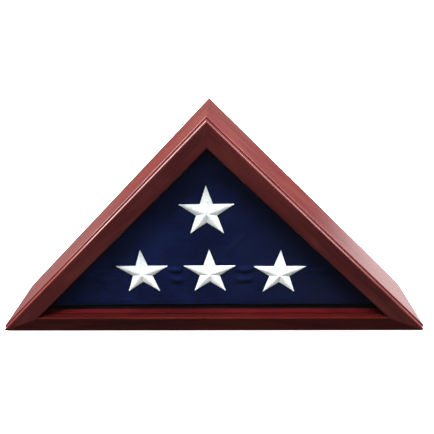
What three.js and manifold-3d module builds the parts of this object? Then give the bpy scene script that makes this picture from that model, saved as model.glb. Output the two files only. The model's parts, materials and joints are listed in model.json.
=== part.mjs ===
// A triangular display case for a folded flag, standing on its long side.
//
// Millimetres, +Z up. X runs along the case, Y runs from the front to the back, and the front
// looks along -Y. The origin is at the middle of the base, half way through the whole depth.
//
// Every side of the triangle has its own frame: local X along the side, local Y through the case,
// and local Z square inwards from the outer face. Sizes called "inset" are measured along that Z.
import * as THREE from 'three';
import { mergeVertices } from 'three/addons/utils/BufferGeometryUtils.js';
import Module from 'manifold-3d';

const wasm = await Module();
wasm.setup();

// ---------------------------------------------------------------- driving dimensions
const WIDTH = 660;                 // outer length of the long side
const HEIGHT = WIDTH / 2;          // 45 degree sides meet square at the top
const CASE_DEPTH = 120;            // front face to the back edges of the rails
const GAP = 0.3;                   // clearance between pieces that touch

const FACE = { width: 27.5, thick: 10, step: 2, round: 2.5, lip: 3 };
const RAIL = { thick: 19, arris: 1.2, round: 2 };
const REBATE = { land: 11, deep: 6 };                        // step that takes the back panel
const GLASS = { thick: 3, inset: 19.5 };
const BEAD = { high: 7.7, deep: 10, round: 1.5 };
const BRAD = { radius: 0.6, length: 14, sunk: 0.5 };
const KEY = { across: 14, thick: 3, length: 70 };            // loose tongue in each mitre
const PANEL = { thick: 4, inset: 11.6 };
const LINING = { thick: 1, inset: 12.5 };
const FLAG = { front: 33, thick: 78, half: 266, centre: -6, tip: 18, soft: 2 };
const STAR = { radius: 40.9, waist: 0.382, thick: 3 };
const BUTTON = { reach: 20, radius: 4.5, thick: 1.5, pivot: 5.5 };
const SCREW = { shank: 1.6, head: 3.6, rise: 1.8, length: 15, tip: 3 };

const STAR_CENTRES = {
  star_top: [-4.4, 185.5],
  star_left: [-104.4, 83.6],
  star_middle: [-2.3, 83.6],
  star_right: [103.0, 81.9],
};

// ---------------------------------------------------------------- places that follow
const HARDWARE_RISE = GAP + BUTTON.thick + GAP + SCREW.rise;
const FRONT_Y = -(CASE_DEPTH + HARDWARE_RISE) / 2;
const RAIL_FRONT_Y = FRONT_Y + FACE.thick + GAP;
const BACK_Y = FRONT_Y + CASE_DEPTH;
const GLASS_Y = RAIL_FRONT_Y;
const BEAD_Y = GLASS_Y + GLASS.thick + GAP;
const FLAG_Y = FRONT_Y + FLAG.front;
const REBATE_Y = BACK_Y - REBATE.deep;
const LINING_Y = REBATE_Y + GAP;
const PANEL_Y = LINING_Y + LINING.thick + GAP;
const BUTTON_Y = BACK_Y + GAP;
const SCREW_Y = BUTTON_Y + BUTTON.thick + GAP;

const DEGREE = Math.PI / 180;
const TOP_HALF = 45 * DEGREE;      // half of each corner angle, which is also its mitre
const TOE_HALF = 22.5 * DEGREE;
const SLOPE = WIDTH / Math.SQRT2;  // outer length of a sloping side

// Each side in turn round the triangle: bottom runs left to right, right runs up, left runs down.
const SIDES = [
  {
    name: 'bottom', length: WIDTH, start: TOE_HALF, end: TOE_HALF,
    middle: [0, 0], turn: 0, buttons: [-170, 170],
  },
  {
    name: 'right', length: SLOPE, start: TOE_HALF, end: TOP_HALF,
    middle: [WIDTH / 4, HEIGHT / 2], turn: -135 * DEGREE, buttons: [-110, 120],
  },
  {
    name: 'left', length: SLOPE, start: TOP_HALF, end: TOE_HALF,
    middle: [-WIDTH / 4, HEIGHT / 2], turn: 135 * DEGREE, buttons: [-120, 110],
  },
];

// ---------------------------------------------------------------- materials
const wood = (color) => new THREE.MeshStandardMaterial({ color, roughness: 0.25, metalness: 0 });
const cloth = (color) => new THREE.MeshStandardMaterial({ color, roughness: 0.95, metalness: 0 });
const metal = (color) => new THREE.MeshStandardMaterial({ color, roughness: 0.35, metalness: 1 });

const MAHOGANY = wood(0x4d2022);
const MAHOGANY_SIDE = wood(0x5a2222);
const BARE_WOOD = wood(0xb98c5e);
const FIBREBOARD = wood(0x3a2a22);
const NAVY = cloth(0x10182f);
const WHITE_THREAD = cloth(0xe6e6ea);
const BLACK_FELT = cloth(0x121214);
const BRASS = metal(0xb08a46);
const STEEL = metal(0x9a9a98);
const CLEAR_GLASS = new THREE.MeshStandardMaterial({
  color: 0xe8f0f0, roughness: 0.05, metalness: 0, transparent: true, opacity: 0.2,
});

const display_case = new THREE.Group();

// ---------------------------------------------------------------- helpers
function addMesh(parent, name, geometry, material) {
  const mesh = new THREE.Mesh(geometry, material);
  mesh.name = name;
  parent.add(mesh);
  return mesh;
}

function toSolid(geometry) {
  const bare = geometry.clone();
  bare.deleteAttribute('normal');
  bare.deleteAttribute('uv');
  const merged = mergeVertices(bare, 1e-4);
  return new wasm.Manifold(new wasm.Mesh({
    numProp: 3,
    vertProperties: new Float32Array(merged.attributes.position.array),
    triVerts: new Uint32Array(merged.index.array),
  }));
}

function fromSolid(solid) {
  const { vertProperties, triVerts, numProp } = solid.getMesh();
  const positions = [];
  for (let i = 0; i < vertProperties.length; i += numProp) {
    positions.push(vertProperties[i], vertProperties[i + 1], vertProperties[i + 2]);
  }
  const geometry = new THREE.BufferGeometry();
  geometry.setAttribute('position', new THREE.Float32BufferAttribute(positions, 3));
  geometry.setIndex(Array.from(triVerts));
  geometry.computeVertexNormals();
  return geometry;
}

// Takes the tool meshes out of a mesh. All of them have their final places by now.
function cutFrom(mesh, tools) {
  mesh.updateWorldMatrix(true, false);
  const toLocal = mesh.matrixWorld.clone().invert();
  let solid = toSolid(mesh.geometry);
  for (const tool of tools) {
    tool.updateWorldMatrix(true, false);
    const place = toLocal.clone().multiply(tool.matrixWorld);
    solid = solid.subtract(toSolid(tool.geometry.clone().applyMatrix4(place)));
  }
  mesh.geometry = fromSolid(solid);
}

// A length of moulding along one side. The section is drawn as (depth, inset), and each end is
// carried out to the mitre line of its corner.
function mouldingGeometry(side, section) {
  const geometry = new THREE.ExtrudeGeometry(section, {
    depth: 1, steps: 1, bevelEnabled: false, curveSegments: 5,
  });
  geometry.applyMatrix4(new THREE.Matrix4().makeBasis(
    new THREE.Vector3(0, 1, 0), new THREE.Vector3(0, 0, 1), new THREE.Vector3(1, 0, 0),
  ));
  const points = geometry.attributes.position;
  for (let i = 0; i < points.count; i += 1) {
    const inset = points.getZ(i);
    const start = -side.length / 2 + inset / Math.tan(side.start) + GAP;
    const end = side.length / 2 - inset / Math.tan(side.end) - GAP;
    points.setX(i, points.getX(i) < 0.5 ? start : end);
  }
  geometry.computeVertexNormals();
  return geometry;
}

// The case's triangle with all three sides moved in by one inset.
function insetTriangle(inset) {
  const half = WIDTH / 2 - inset / Math.tan(TOE_HALF);
  const shape = new THREE.Shape();
  shape.moveTo(-half, inset);
  shape.lineTo(half, inset);
  shape.lineTo(0, inset + half);
  shape.closePath();
  return shape;
}

// A shape drawn as (x, z) and made solid backwards from its front face.
function addPlate(parent, name, shape, front, thick, material, soft = 0) {
  const geometry = new THREE.ExtrudeGeometry(shape, {
    depth: thick - 2 * soft,
    curveSegments: 10,
    bevelEnabled: soft > 0,
    bevelThickness: soft,
    bevelSize: soft,
    bevelOffset: -soft,
    bevelSegments: 3,
  });
  const mesh = addMesh(parent, name, geometry, material);
  mesh.rotation.x = Math.PI / 2;
  mesh.position.y = front + thick - soft;
  return mesh;
}

// ---------------------------------------------------------------- sections of the wooden parts
// Front moulding: set in by a step from the box behind it, and rounded over at both front edges.
function faceSection() {
  const { width, step, round, lip } = FACE;
  const front = FRONT_Y;
  const back = FRONT_Y + FACE.thick;
  const shape = new THREE.Shape();
  shape.moveTo(front + round, step);
  shape.lineTo(back, step);
  shape.lineTo(back, width);
  shape.lineTo(front + lip, width);
  shape.absarc(front + lip, width - lip, lip, 90 * DEGREE, 180 * DEGREE);
  shape.absarc(front + round, step + round, round, 180 * DEGREE, 270 * DEGREE);
  return shape;
}

// Box rail: arris eased in front, and the rebate for the panel at the back.
function railSection() {
  const shape = new THREE.Shape();
  shape.moveTo(RAIL_FRONT_Y, RAIL.arris);
  shape.lineTo(RAIL_FRONT_Y + RAIL.arris, 0);
  shape.absarc(BACK_Y - RAIL.round, RAIL.round, RAIL.round, -90 * DEGREE, 0);
  shape.lineTo(BACK_Y, REBATE.land);
  shape.lineTo(REBATE_Y, REBATE.land);
  shape.lineTo(REBATE_Y, RAIL.thick);
  shape.lineTo(RAIL_FRONT_Y, RAIL.thick);
  shape.closePath();
  return shape;
}

// Glazing bead, with its free back edge eased.
function beadSection() {
  const foot = RAIL.thick + GAP;
  const head = foot + BEAD.high;
  const shape = new THREE.Shape();
  shape.moveTo(BEAD_Y, foot);
  shape.lineTo(BEAD_Y + BEAD.deep, foot);
  shape.absarc(BEAD_Y + BEAD.deep - BEAD.round, head - BEAD.round, BEAD.round, 0, 90 * DEGREE);
  shape.lineTo(BEAD_Y, head);
  shape.closePath();
  return shape;
}

// ---------------------------------------------------------------- hardware
function screwGeometry() {
  const { shank, head, rise, length, tip } = SCREW;
  const profile = [
    [0, -length], [shank, -length + tip], [shank, 0], [head, 0],
    [head, rise * 0.35], [head * 0.72, rise * 0.8], [head * 0.35, rise], [0, rise],
  ];
  return new THREE.LatheGeometry(profile.map(([r, y]) => new THREE.Vector2(r, y)), 20);
}

// An oblong turn button: its pivot is at zero, and it reaches along local X in one direction.
function buttonShape(direction) {
  const { reach, radius } = BUTTON;
  const shape = new THREE.Shape();
  const low = direction > 0 ? 0 : -reach;
  shape.absarc(low, 0, radius, 90 * DEGREE, 270 * DEGREE);
  shape.absarc(low + reach, 0, radius, -90 * DEGREE, 90 * DEGREE);
  shape.closePath();
  const hole = new THREE.Path();
  hole.absarc(0, 0, SCREW.shank + GAP, 0, 360 * DEGREE);
  shape.holes.push(hole);
  return shape;
}

// Two turn buttons on the back edge of a side, each held by its screw. They lie along the rail,
// pointing at the middle of the side.
function addButtons(side, group, rail) {
  side.buttons.forEach((along, index) => {
    const tag = `${side.name}_${index + 1}`;
    const shape = buttonShape(-Math.sign(along));
    const button = addPlate(group, `turn_button_${tag}`, shape, BUTTON_Y, BUTTON.thick, BRASS);
    button.position.x = along;
    button.position.z = BUTTON.pivot;
    const screw = addMesh(group, `button_screw_${tag}`, screwGeometry(), STEEL);
    screw.position.set(along, SCREW_Y, BUTTON.pivot);
    const depth = SCREW.length + GAP;
    const drill = new THREE.Mesh(new THREE.CylinderGeometry(SCREW.shank + GAP, SCREW.shank + GAP, depth, 16));
    drill.position.set(along, SCREW_Y - depth / 2, BUTTON.pivot);
    group.add(drill);
    cutFrom(rail, [drill]);
    group.remove(drill);
  });
}

// Two headless brads pin the bead to the rail, square to the rail's inner face.
function addBrads(side, group, rail, bead) {
  const head = RAIL.thick + GAP + BEAD.high - BRAD.sunk;
  [-0.24, 0.24].forEach((share, index) => {
    const place = [share * side.length, BEAD_Y + BEAD.deep / 2, head - BRAD.length / 2];
    const shaft = new THREE.CylinderGeometry(BRAD.radius, BRAD.radius, BRAD.length, 10);
    const brad = addMesh(group, `bead_brad_${side.name}_${index + 1}`, shaft, STEEL);
    brad.rotation.x = 90 * DEGREE;
    brad.position.set(...place);
    const bore = BRAD.radius + GAP;
    const reach = BRAD.length + 2 * GAP + 2 * BRAD.sunk;
    const drill = new THREE.Mesh(new THREE.CylinderGeometry(bore, bore, reach, 12));
    drill.rotation.x = 90 * DEGREE;
    drill.position.set(...place);
    group.add(drill);
    cutFrom(bead, [drill]);
    cutFrom(rail, [drill]);
    group.remove(drill);
  });
}

// ---------------------------------------------------------------- the three sides
const rails = {};
for (const side of SIDES) {
  const group = new THREE.Group();
  group.position.set(side.middle[0], 0, side.middle[1]);
  group.rotation.y = side.turn;
  display_case.add(group);
  addMesh(group, `face_frame_${side.name}`, mouldingGeometry(side, faceSection()), MAHOGANY);
  const rail = addMesh(group, `box_rail_${side.name}`, mouldingGeometry(side, railSection()), MAHOGANY_SIDE);
  const bead = addMesh(group, `glazing_bead_${side.name}`, mouldingGeometry(side, beadSection()), MAHOGANY);
  addButtons(side, group, rail);
  addBrads(side, group, rail, bead);
  rails[side.name] = rail;
}

// ---------------------------------------------------------------- loose tongues in the mitres
// Each tongue stands square across its mitre. "up" is the slope of the mitre line, measured from
// the corner inwards, and "along" is how far in from the corner the tongue sits.
const MITRES = [
  { name: 'top', corner: [0, HEIGHT], up: -90 * DEGREE, along: 16, sides: ['left', 'right'] },
  { name: 'left', corner: [-WIDTH / 2, 0], up: TOE_HALF, along: 34, sides: ['left', 'bottom'] },
  { name: 'right', corner: [WIDTH / 2, 0], up: Math.PI - TOE_HALF, along: 34, sides: ['right', 'bottom'] },
];

for (const mitre of MITRES) {
  const box = (grow) => new THREE.BoxGeometry(KEY.thick + grow, KEY.length + grow, KEY.across + grow);
  const key = addMesh(display_case, `mitre_key_${mitre.name}`, box(0), BARE_WOOD);
  key.rotation.y = -mitre.up;
  key.position.set(
    mitre.corner[0] + mitre.along * Math.cos(mitre.up),
    (RAIL_FRONT_Y + REBATE_Y) / 2,
    mitre.corner[1] + mitre.along * Math.sin(mitre.up),
  );
  const slot = new THREE.Mesh(box(2 * GAP));
  slot.position.copy(key.position);
  slot.rotation.copy(key.rotation);
  mitre.sides.forEach((name) => cutFrom(rails[name], [slot]));
}

// ---------------------------------------------------------------- glass, lining and back panel
addPlate(display_case, 'glass_pane', insetTriangle(GLASS.inset), GLASS_Y, GLASS.thick, CLEAR_GLASS);
addPlate(display_case, 'felt_lining', insetTriangle(LINING.inset), LINING_Y, LINING.thick, BLACK_FELT);
addPlate(display_case, 'back_panel', insetTriangle(PANEL.inset), PANEL_Y, PANEL.thick, FIBREBOARD);

// ---------------------------------------------------------------- the folded flag and its stars
// A triangle with blunt corners, standing on the bottom rail.
function flagShape() {
  const { half, centre, tip } = FLAG;
  const foot = RAIL.thick + 2 * GAP;
  const corners = [[centre - half, foot], [centre + half, foot], [centre, foot + half]];
  const shape = new THREE.Shape();
  corners.forEach((corner, i) => {
    const here = new THREE.Vector2(...corner);
    const before = new THREE.Vector2(...corners[(i + 2) % 3]).sub(here).setLength(tip).add(here);
    const after = new THREE.Vector2(...corners[(i + 1) % 3]).sub(here).setLength(tip).add(here);
    if (i === 0) {
      shape.moveTo(before.x, before.y);
    } else {
      shape.lineTo(before.x, before.y);
    }
    shape.quadraticCurveTo(here.x, here.y, after.x, after.y);
  });
  shape.closePath();
  return shape;
}

function starShape() {
  const shape = new THREE.Shape();
  for (let i = 0; i < 10; i += 1) {
    const reach = STAR.radius * (i % 2 === 0 ? 1 : STAR.waist);
    const angle = 90 * DEGREE + i * 36 * DEGREE;
    const point = [reach * Math.cos(angle), reach * Math.sin(angle)];
    if (i === 0) {
      shape.moveTo(...point);
    } else {
      shape.lineTo(...point);
    }
  }
  shape.closePath();
  return shape;
}

addPlate(display_case, 'folded_flag', flagShape(), FLAG_Y, FLAG.thick, NAVY, FLAG.soft);
for (const [name, [x, z]] of Object.entries(STAR_CENTRES)) {
  const star = addPlate(
    display_case, name, starShape(), FLAG_Y - GAP - STAR.thick, STAR.thick, WHITE_THREAD,
  );
  star.position.x = x;
  star.position.z = z;
}

export default display_case;
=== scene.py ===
"""Looks for a triangular display case that holds a folded flag.

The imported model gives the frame: every class below reads its places from the CAD boxes, builds one
sub-assembly in metres in the same frame, and dresses it. The case stands on its long side, X runs
along it, and the glazed front looks along -Y.
"""

import json
import logging
import math
from dataclasses import dataclass, replace
from enum import Enum
from typing import Callable, Iterable, Sequence

import bmesh
import bpy
from mathutils import Matrix, Vector, noise
from mathutils.geometry import delaunay_2d_cdt

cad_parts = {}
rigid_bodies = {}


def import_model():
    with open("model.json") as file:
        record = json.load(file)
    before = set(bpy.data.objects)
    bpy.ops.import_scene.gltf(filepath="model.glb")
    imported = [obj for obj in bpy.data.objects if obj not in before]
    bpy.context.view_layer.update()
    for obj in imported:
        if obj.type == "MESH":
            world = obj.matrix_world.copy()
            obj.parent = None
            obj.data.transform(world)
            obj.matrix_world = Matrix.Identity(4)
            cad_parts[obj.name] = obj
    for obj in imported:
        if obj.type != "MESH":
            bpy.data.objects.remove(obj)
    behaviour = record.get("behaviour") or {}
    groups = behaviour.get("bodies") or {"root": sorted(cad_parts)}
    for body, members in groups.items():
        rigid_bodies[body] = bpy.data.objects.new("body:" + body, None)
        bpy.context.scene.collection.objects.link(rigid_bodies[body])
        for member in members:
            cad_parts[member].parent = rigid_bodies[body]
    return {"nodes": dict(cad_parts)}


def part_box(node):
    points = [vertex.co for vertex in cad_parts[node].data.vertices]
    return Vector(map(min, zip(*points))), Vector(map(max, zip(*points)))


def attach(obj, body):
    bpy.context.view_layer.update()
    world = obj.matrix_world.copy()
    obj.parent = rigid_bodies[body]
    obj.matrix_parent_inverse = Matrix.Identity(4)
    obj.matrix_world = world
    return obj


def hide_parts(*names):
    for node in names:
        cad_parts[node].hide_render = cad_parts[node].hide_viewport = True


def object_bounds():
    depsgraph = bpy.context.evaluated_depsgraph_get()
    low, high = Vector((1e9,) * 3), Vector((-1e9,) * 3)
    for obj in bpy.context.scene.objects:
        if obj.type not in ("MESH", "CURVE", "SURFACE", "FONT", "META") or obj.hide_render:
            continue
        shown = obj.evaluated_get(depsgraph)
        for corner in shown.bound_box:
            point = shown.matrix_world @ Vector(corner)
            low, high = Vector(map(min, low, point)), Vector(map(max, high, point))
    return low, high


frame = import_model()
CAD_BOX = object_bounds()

LOG = logging.getLogger("display_case")
MM = 0.001
CLEARANCE = 0.3 * MM      # between pieces that touch
ROOT_BODY = "case"
Colour = tuple[float, float, float]
Point2 = tuple[float, float]


# ---------------------------------------------------------------- node trees as expressions
class Value:
    """A socket that takes part in arithmetic, adding Math nodes to its tree as it goes."""

    def __init__(self, tree: "Tree", socket: bpy.types.NodeSocket) -> None:
        """Wraps a socket of a tree."""
        self.tree = tree
        self.socket = socket

    def __add__(self, other: "Number") -> "Value":
        """self + other."""
        return self.tree.math("ADD", self, other)

    def __sub__(self, other: "Number") -> "Value":
        """self - other."""
        return self.tree.math("SUBTRACT", self, other)

    def __rsub__(self, other: "Number") -> "Value":
        """other - self."""
        return self.tree.math("SUBTRACT", other, self)

    def __mul__(self, other: "Number") -> "Value":
        """self * other."""
        return self.tree.math("MULTIPLY", self, other)

    def __truediv__(self, other: "Number") -> "Value":
        """self / other."""
        return self.tree.math("DIVIDE", self, other)

    def __rtruediv__(self, other: "Number") -> "Value":
        """other / self."""
        return self.tree.math("DIVIDE", other, self)

    def __pow__(self, other: "Number") -> "Value":
        """self ** other."""
        return self.tree.math("POWER", self, other)

    __radd__ = __add__
    __rmul__ = __mul__


Number = float | Value


class Tree:
    """Adds nodes to a shader or geometry tree and links them."""

    def __init__(self, tree: bpy.types.NodeTree) -> None:
        """Starts on an empty tree."""
        self.tree = tree
        tree.nodes.clear()

    def add(self, kind: str, settings: dict | None = None, inputs: dict | None = None) -> bpy.types.Node:
        """Adds one node.

        Args:
            kind: the node's type.
            settings: attributes of the node, set before its sockets.
            inputs: values or links by socket name or number.

        Returns:
            The node.
        """
        node = self.tree.nodes.new(kind)
        for name, value in (settings or {}).items():
            setattr(node, name, value)
        for key, value in (inputs or {}).items():
            socket = node.inputs[key]
            if isinstance(value, Value):
                self.tree.links.new(value.socket, socket)
            else:
                socket.default_value = value
        return node

    def get(self, kind: str, output: str | int = 0, settings: dict | None = None,
            inputs: dict | None = None) -> Value:
        """Adds one node and returns one of its outputs."""
        return Value(self, self.add(kind, settings, inputs).outputs[output])

    def math(self, operation: str, *terms: Number) -> Value:
        """Adds a Math node over one, two or three terms."""
        return self.get("ShaderNodeMath", 0, {"operation": operation}, dict(enumerate(terms)))

    def vector(self, operation: str, *terms: "Value | Sequence[float]") -> Value:
        """Adds a Vector Math node."""
        return self.get("ShaderNodeVectorMath", 0, {"operation": operation}, dict(enumerate(terms)))

    def ramp(self, fac: Value, low: float, high: float) -> Value:
        """0 below low, 1 above high, with a smooth rise between them.

        Args:
            fac: the value to map.
            low: the value that gives 0.
            high: the value that gives 1.

        Returns:
            The mapped value.
        """
        return self.get("ShaderNodeMapRange", 0, {"interpolation_type": "SMOOTHSTEP", "clamp": True},
                        {"Value": fac, "From Min": low, "From Max": high})

    def combine(self, x: Number = 0.0, y: Number = 0.0, z: Number = 0.0) -> Value:
        """A vector from three numbers."""
        return self.get("ShaderNodeCombineXYZ", 0, None, {0: x, 1: y, 2: z})

    def split(self, vector: Value) -> tuple[Value, Value, Value]:
        """The three numbers of a vector."""
        node = self.add("ShaderNodeSeparateXYZ", None, {0: vector})
        return tuple(Value(self, node.outputs[i]) for i in range(3))


class Shader(Tree):
    """A material's tree, with the patterns that the finishes share."""

    def __init__(self, name: str) -> None:
        """Makes an empty material.

        Args:
            name: the name of the material.
        """
        self.material = bpy.data.materials.new(name)
        self.material.use_nodes = True
        super().__init__(self.material.node_tree)
        self.place = self.get("ShaderNodeTexCoord", "Object")

    def mapped(self, turn: float = 0.0, stretch: Sequence[float] = (1, 1, 1), shift: float = 0.0) -> Value:
        """Object coordinates turned about Y and shifted, then stretched.

        Args:
            turn: the angle about Y, in radians.
            stretch: the factor on each axis.
            shift: how far the pattern is moved along X and Z, in metres.

        Returns:
            The coordinates.
        """
        turned = self.get("ShaderNodeMapping", 0, {"vector_type": "POINT"},
                          {"Vector": self.place, "Rotation": (0, turn, 0), "Location": (shift, 0, shift)})
        return self.vector("MULTIPLY", turned, tuple(stretch))

    def noise(self, vector: Value, scale: float, detail: float = 3.0, rough: float = 0.5,
              distort: float = 0.0) -> Value:
        """Noise from 0 to 1.

        Args:
            vector: the coordinates it reads.
            scale: how fine it is.
            detail: how many finer octaves it adds.
            rough: how strong the finer octaves are.
            distort: how much it is warped.

        Returns:
            The noise.
        """
        return self.get("ShaderNodeTexNoise", "Fac", {"noise_dimensions": "3D"}, {
            "Vector": vector, "Scale": scale, "Detail": detail, "Roughness": rough,
            "Distortion": distort})


    def mix(self, fac: Number, first: "Value | Colour", second: "Value | Colour") -> Value:
        """Mixes two colours.

        Args:
            fac: the share of the second colour.
            first: a colour or a socket.
            second: a colour or a socket.

        Returns:
            The mixed colour.
        """
        sides = {}
        for key, side in ((6, first), (7, second)):
            sides[key] = side if isinstance(side, Value) else (*side, 1.0)
        return self.get("ShaderNodeMix", 2, {"data_type": "RGBA"}, {0: fac, **sides})

    def bump(self, height: Value, distance: float, strength: float = 1.0) -> Value:
        """A normal from a height, where 1 stands distance metres proud."""
        return self.get("ShaderNodeBump", 0, None,
                        {"Height": height, "Distance": distance, "Strength": strength})

    def finish(self, surface: Value) -> bpy.types.Material:
        """Links the surface to the output."""
        self.add("ShaderNodeOutputMaterial", None, {"Surface": surface})
        return self.material

    def principled(self, **inputs: "Value | float | Sequence[float]") -> bpy.types.Material:
        """Ends the tree in a Principled shader. Underscores in the names stand for spaces."""
        named = {key.replace("_", " "): value for key, value in inputs.items()}
        return self.finish(self.get("ShaderNodeBsdfPrincipled", 0, None, named))


# ---------------------------------------------------------------- finishes
@dataclass(frozen=True)
class LacqueredWood:
    """Red-brown stain under clear lacquer, with the grain turned to run along its own side."""

    name: str
    turn: float
    stain: Colour = (0.047, 0.0082, 0.0082)
    deep: Colour = (0.027, 0.0053, 0.0060)
    warm: float = 0.35
    coat: float = 0.7
    coat_rough: float = 0.10
    rough: float = 0.42
    specular: float = 0.08
    relief: float = 0.07 * MM
    shift: float = 0.0

    def make(self) -> bpy.types.Material:
        """Builds the material.

        Returns:
            The material.
        """
        s = Shader(self.name)

        def along(length: float, across: float) -> Value:
            """Coordinates that a pattern stretched along the grain reads."""
            return s.mapped(self.turn, (length, across, across), self.shift)

        fibres = s.noise(along(3.0, 60.0), 4.0, 6.0, 0.62, 0.4)
        bands = s.noise(along(1.2, 16.0), 2.2, 3.0, 0.5, 0.9)
        pores = s.ramp(s.noise(along(18.0, 420.0), 2.0, 2.0), 0.60, 0.72)
        cloud = s.ramp(s.noise(along(5.0, 22.0), 2.0, 3.0, 0.6, 0.5), 0.45, 0.65)
        tone = s.ramp(fibres * 0.55 + bands * 0.45, 0.34, 0.64)
        base = s.mix(tone, self.deep, self.stain)
        red, green, blue = self.stain
        base = s.mix(cloud * self.warm, base, (red * 1.25, green * 2.0, blue * 1.3))
        base = s.mix(pores * 0.45, base, self.deep)
        orange_peel = s.noise(s.place, 160.0, 2.0)
        streaks = s.noise(s.mapped(self.turn, (30.0, 900.0, 900.0)), 1.6, 4.0, 0.7)
        height = orange_peel * 0.2 + fibres * 0.2 + streaks * 0.35 - pores * 0.3
        return s.principled(
            Base_Color=base,
            Roughness=self.rough + 0.14 * fibres - 0.07,
            Specular_IOR_Level=self.specular,
            Coat_Weight=self.coat - 0.25 * pores,
            Coat_Roughness=self.coat_rough,
            Coat_IOR=1.5,
            Normal=s.bump(height, self.relief, 0.6),
        )


@dataclass(frozen=True)
class BareWood:
    """Unfinished pale wood."""

    name: str = "bare_wood"
    pale: Colour = (0.60, 0.42, 0.25)
    dark: Colour = (0.42, 0.26, 0.13)

    def make(self) -> bpy.types.Material:
        """Builds the material.

        Returns:
            The material.
        """
        s = Shader(self.name)
        grain = s.noise(s.mapped(0.0, (60.0, 3.0, 60.0)), 5.0, 5.0, 0.6, 0.3)
        return s.principled(
            Base_Color=s.mix(s.ramp(grain, 0.3, 0.7), self.dark, self.pale),
            Roughness=0.6 + 0.2 * grain,
            Normal=s.bump(grain, 0.1 * MM),
        )


@dataclass(frozen=True)
class Hardboard:
    """Dark tempered hardboard with a pressed, slightly mottled face."""

    name: str = "hardboard"
    brown: Colour = (0.085, 0.045, 0.028)
    dark: Colour = (0.040, 0.021, 0.014)

    def make(self) -> bpy.types.Material:
        """Builds the material.

        Returns:
            The material.
        """
        s = Shader(self.name)
        mottle = s.noise(s.place, 60.0, 6.0, 0.7)
        fibre = s.noise(s.mapped(0.0, (1.0, 1.0, 2.0)), 900.0, 3.0, 0.7)
        cloud = s.noise(s.place, 7.0, 2.0)
        tone = s.ramp(0.5 * mottle + 0.3 * fibre + 0.2 * cloud, 0.36, 0.66)
        return s.principled(
            Base_Color=s.mix(tone, self.dark, self.brown),
            Roughness=0.42 + 0.2 * mottle,
            Normal=s.bump(fibre * 0.7 + mottle * 0.3, 0.08 * MM),
        )


@dataclass(frozen=True)
class Felt:
    """Thin matted felt."""

    name: str = "black_felt"
    colour: Colour = (0.010, 0.010, 0.012)
    light: Colour = (0.026, 0.026, 0.030)

    def make(self) -> bpy.types.Material:
        """Builds the material.

        Returns:
            The material.
        """
        s = Shader(self.name)
        fuzz = s.noise(s.place, 1400.0, 4.0, 0.8)
        clumps = s.noise(s.place, 120.0, 3.0, 0.6, 0.6)
        return s.principled(
            Base_Color=s.mix(s.ramp(0.6 * fuzz + 0.4 * clumps, 0.35, 0.7), self.colour, self.light),
            Roughness=0.9 + 0.1 * fuzz,
            Sheen_Weight=0.3,
            Sheen_Roughness=0.5,
            Normal=s.bump(0.6 * fuzz + 0.4 * clumps, 0.3 * MM),
        )


@dataclass(frozen=True)
class Bunting:
    """Woven navy cotton in a plain weave, turning a darker, greyer navy towards the right: painted shade,
    so the left of the flag reads as more brightly lit.
    """

    name: str = "navy_bunting"
    navy: Colour = (0.0015, 0.0034, 0.0200)
    pale: Colour = (0.0060, 0.0125, 0.066)
    # grey is the darker navy of the painted shade towards the right, and spread sets how wide that ramp is
    grey: Colour = (0.0034, 0.0050, 0.0165)
    spread: float = 200.0 * MM
    pitch: float = 0.62 * MM

    def make(self) -> bpy.types.Material:
        """Builds the material.

        Returns:
            The material.
        """
        s = Shader(self.name)
        x, _, z = s.split(s.place)
        turns = math.tau / self.pitch
        warp = s.math("SINE", x * turns)
        weft = s.math("SINE", z * turns)
        cross = s.math("SINE", x * (turns / 2)) * s.math("SINE", z * (turns / 2))
        weave = 0.5 + 0.25 * warp * cross + 0.25 * weft * cross
        slub = s.noise(s.mapped(0.0, (1.0, 1.0, 9.0)), 55.0, 4.0, 0.6)
        fade = s.noise(s.place, 9.0, 3.0, 0.55, 0.4)
        tone = s.ramp(0.25 * weave + 0.25 * slub + 0.5 * fade, 0.38, 0.62)
        cloth = s.mix(tone, self.navy, self.pale)
        # painted shade: a ramp along X that greys and darkens the cloth towards the right
        blend_share = s.ramp(x, -self.spread, self.spread)
        cloth = s.mix(blend_share * 0.9, cloth, s.mix(tone, self.navy, self.grey))
        return s.principled(
            Base_Color=cloth,
            Roughness=0.72 + 0.2 * slub,
            Specular_IOR_Level=0.12,
            Sheen_Weight=0.06,
            Sheen_Roughness=0.45,
            Sheen_Tint=(0.35, 0.45, 1.0, 1.0),
            Normal=s.bump(weave * 0.8 + slub * 0.5, 0.12 * MM, 0.8),
        )


@dataclass(frozen=True)
class Thread:
    """Twisted rayon thread."""

    name: str
    colour: Colour = (0.90, 0.91, 0.91)
    shade: Colour = (0.66, 0.68, 0.69)
    rough: float = 0.42

    def make(self) -> bpy.types.Material:
        """Builds the material.

        Returns:
            The material.
        """
        s = Shader(self.name)
        twist = s.noise(s.place, 2600.0, 2.0, 0.6)
        cloud = s.noise(s.place, 90.0, 2.0)
        fleck = s.noise(s.place, 420.0, 3.0, 0.6)
        blend_share = s.ramp(0.25 * twist + 0.3 * cloud + 0.45 * fleck, 0.38, 0.56)
        return s.principled(
            Base_Color=s.mix(blend_share, self.shade, self.colour),
            Roughness=self.rough + 0.15 * cloud,
            Specular_IOR_Level=0.4,
            Sheen_Weight=0.1,
            Normal=s.bump(twist, 0.05 * MM),
        )


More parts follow.
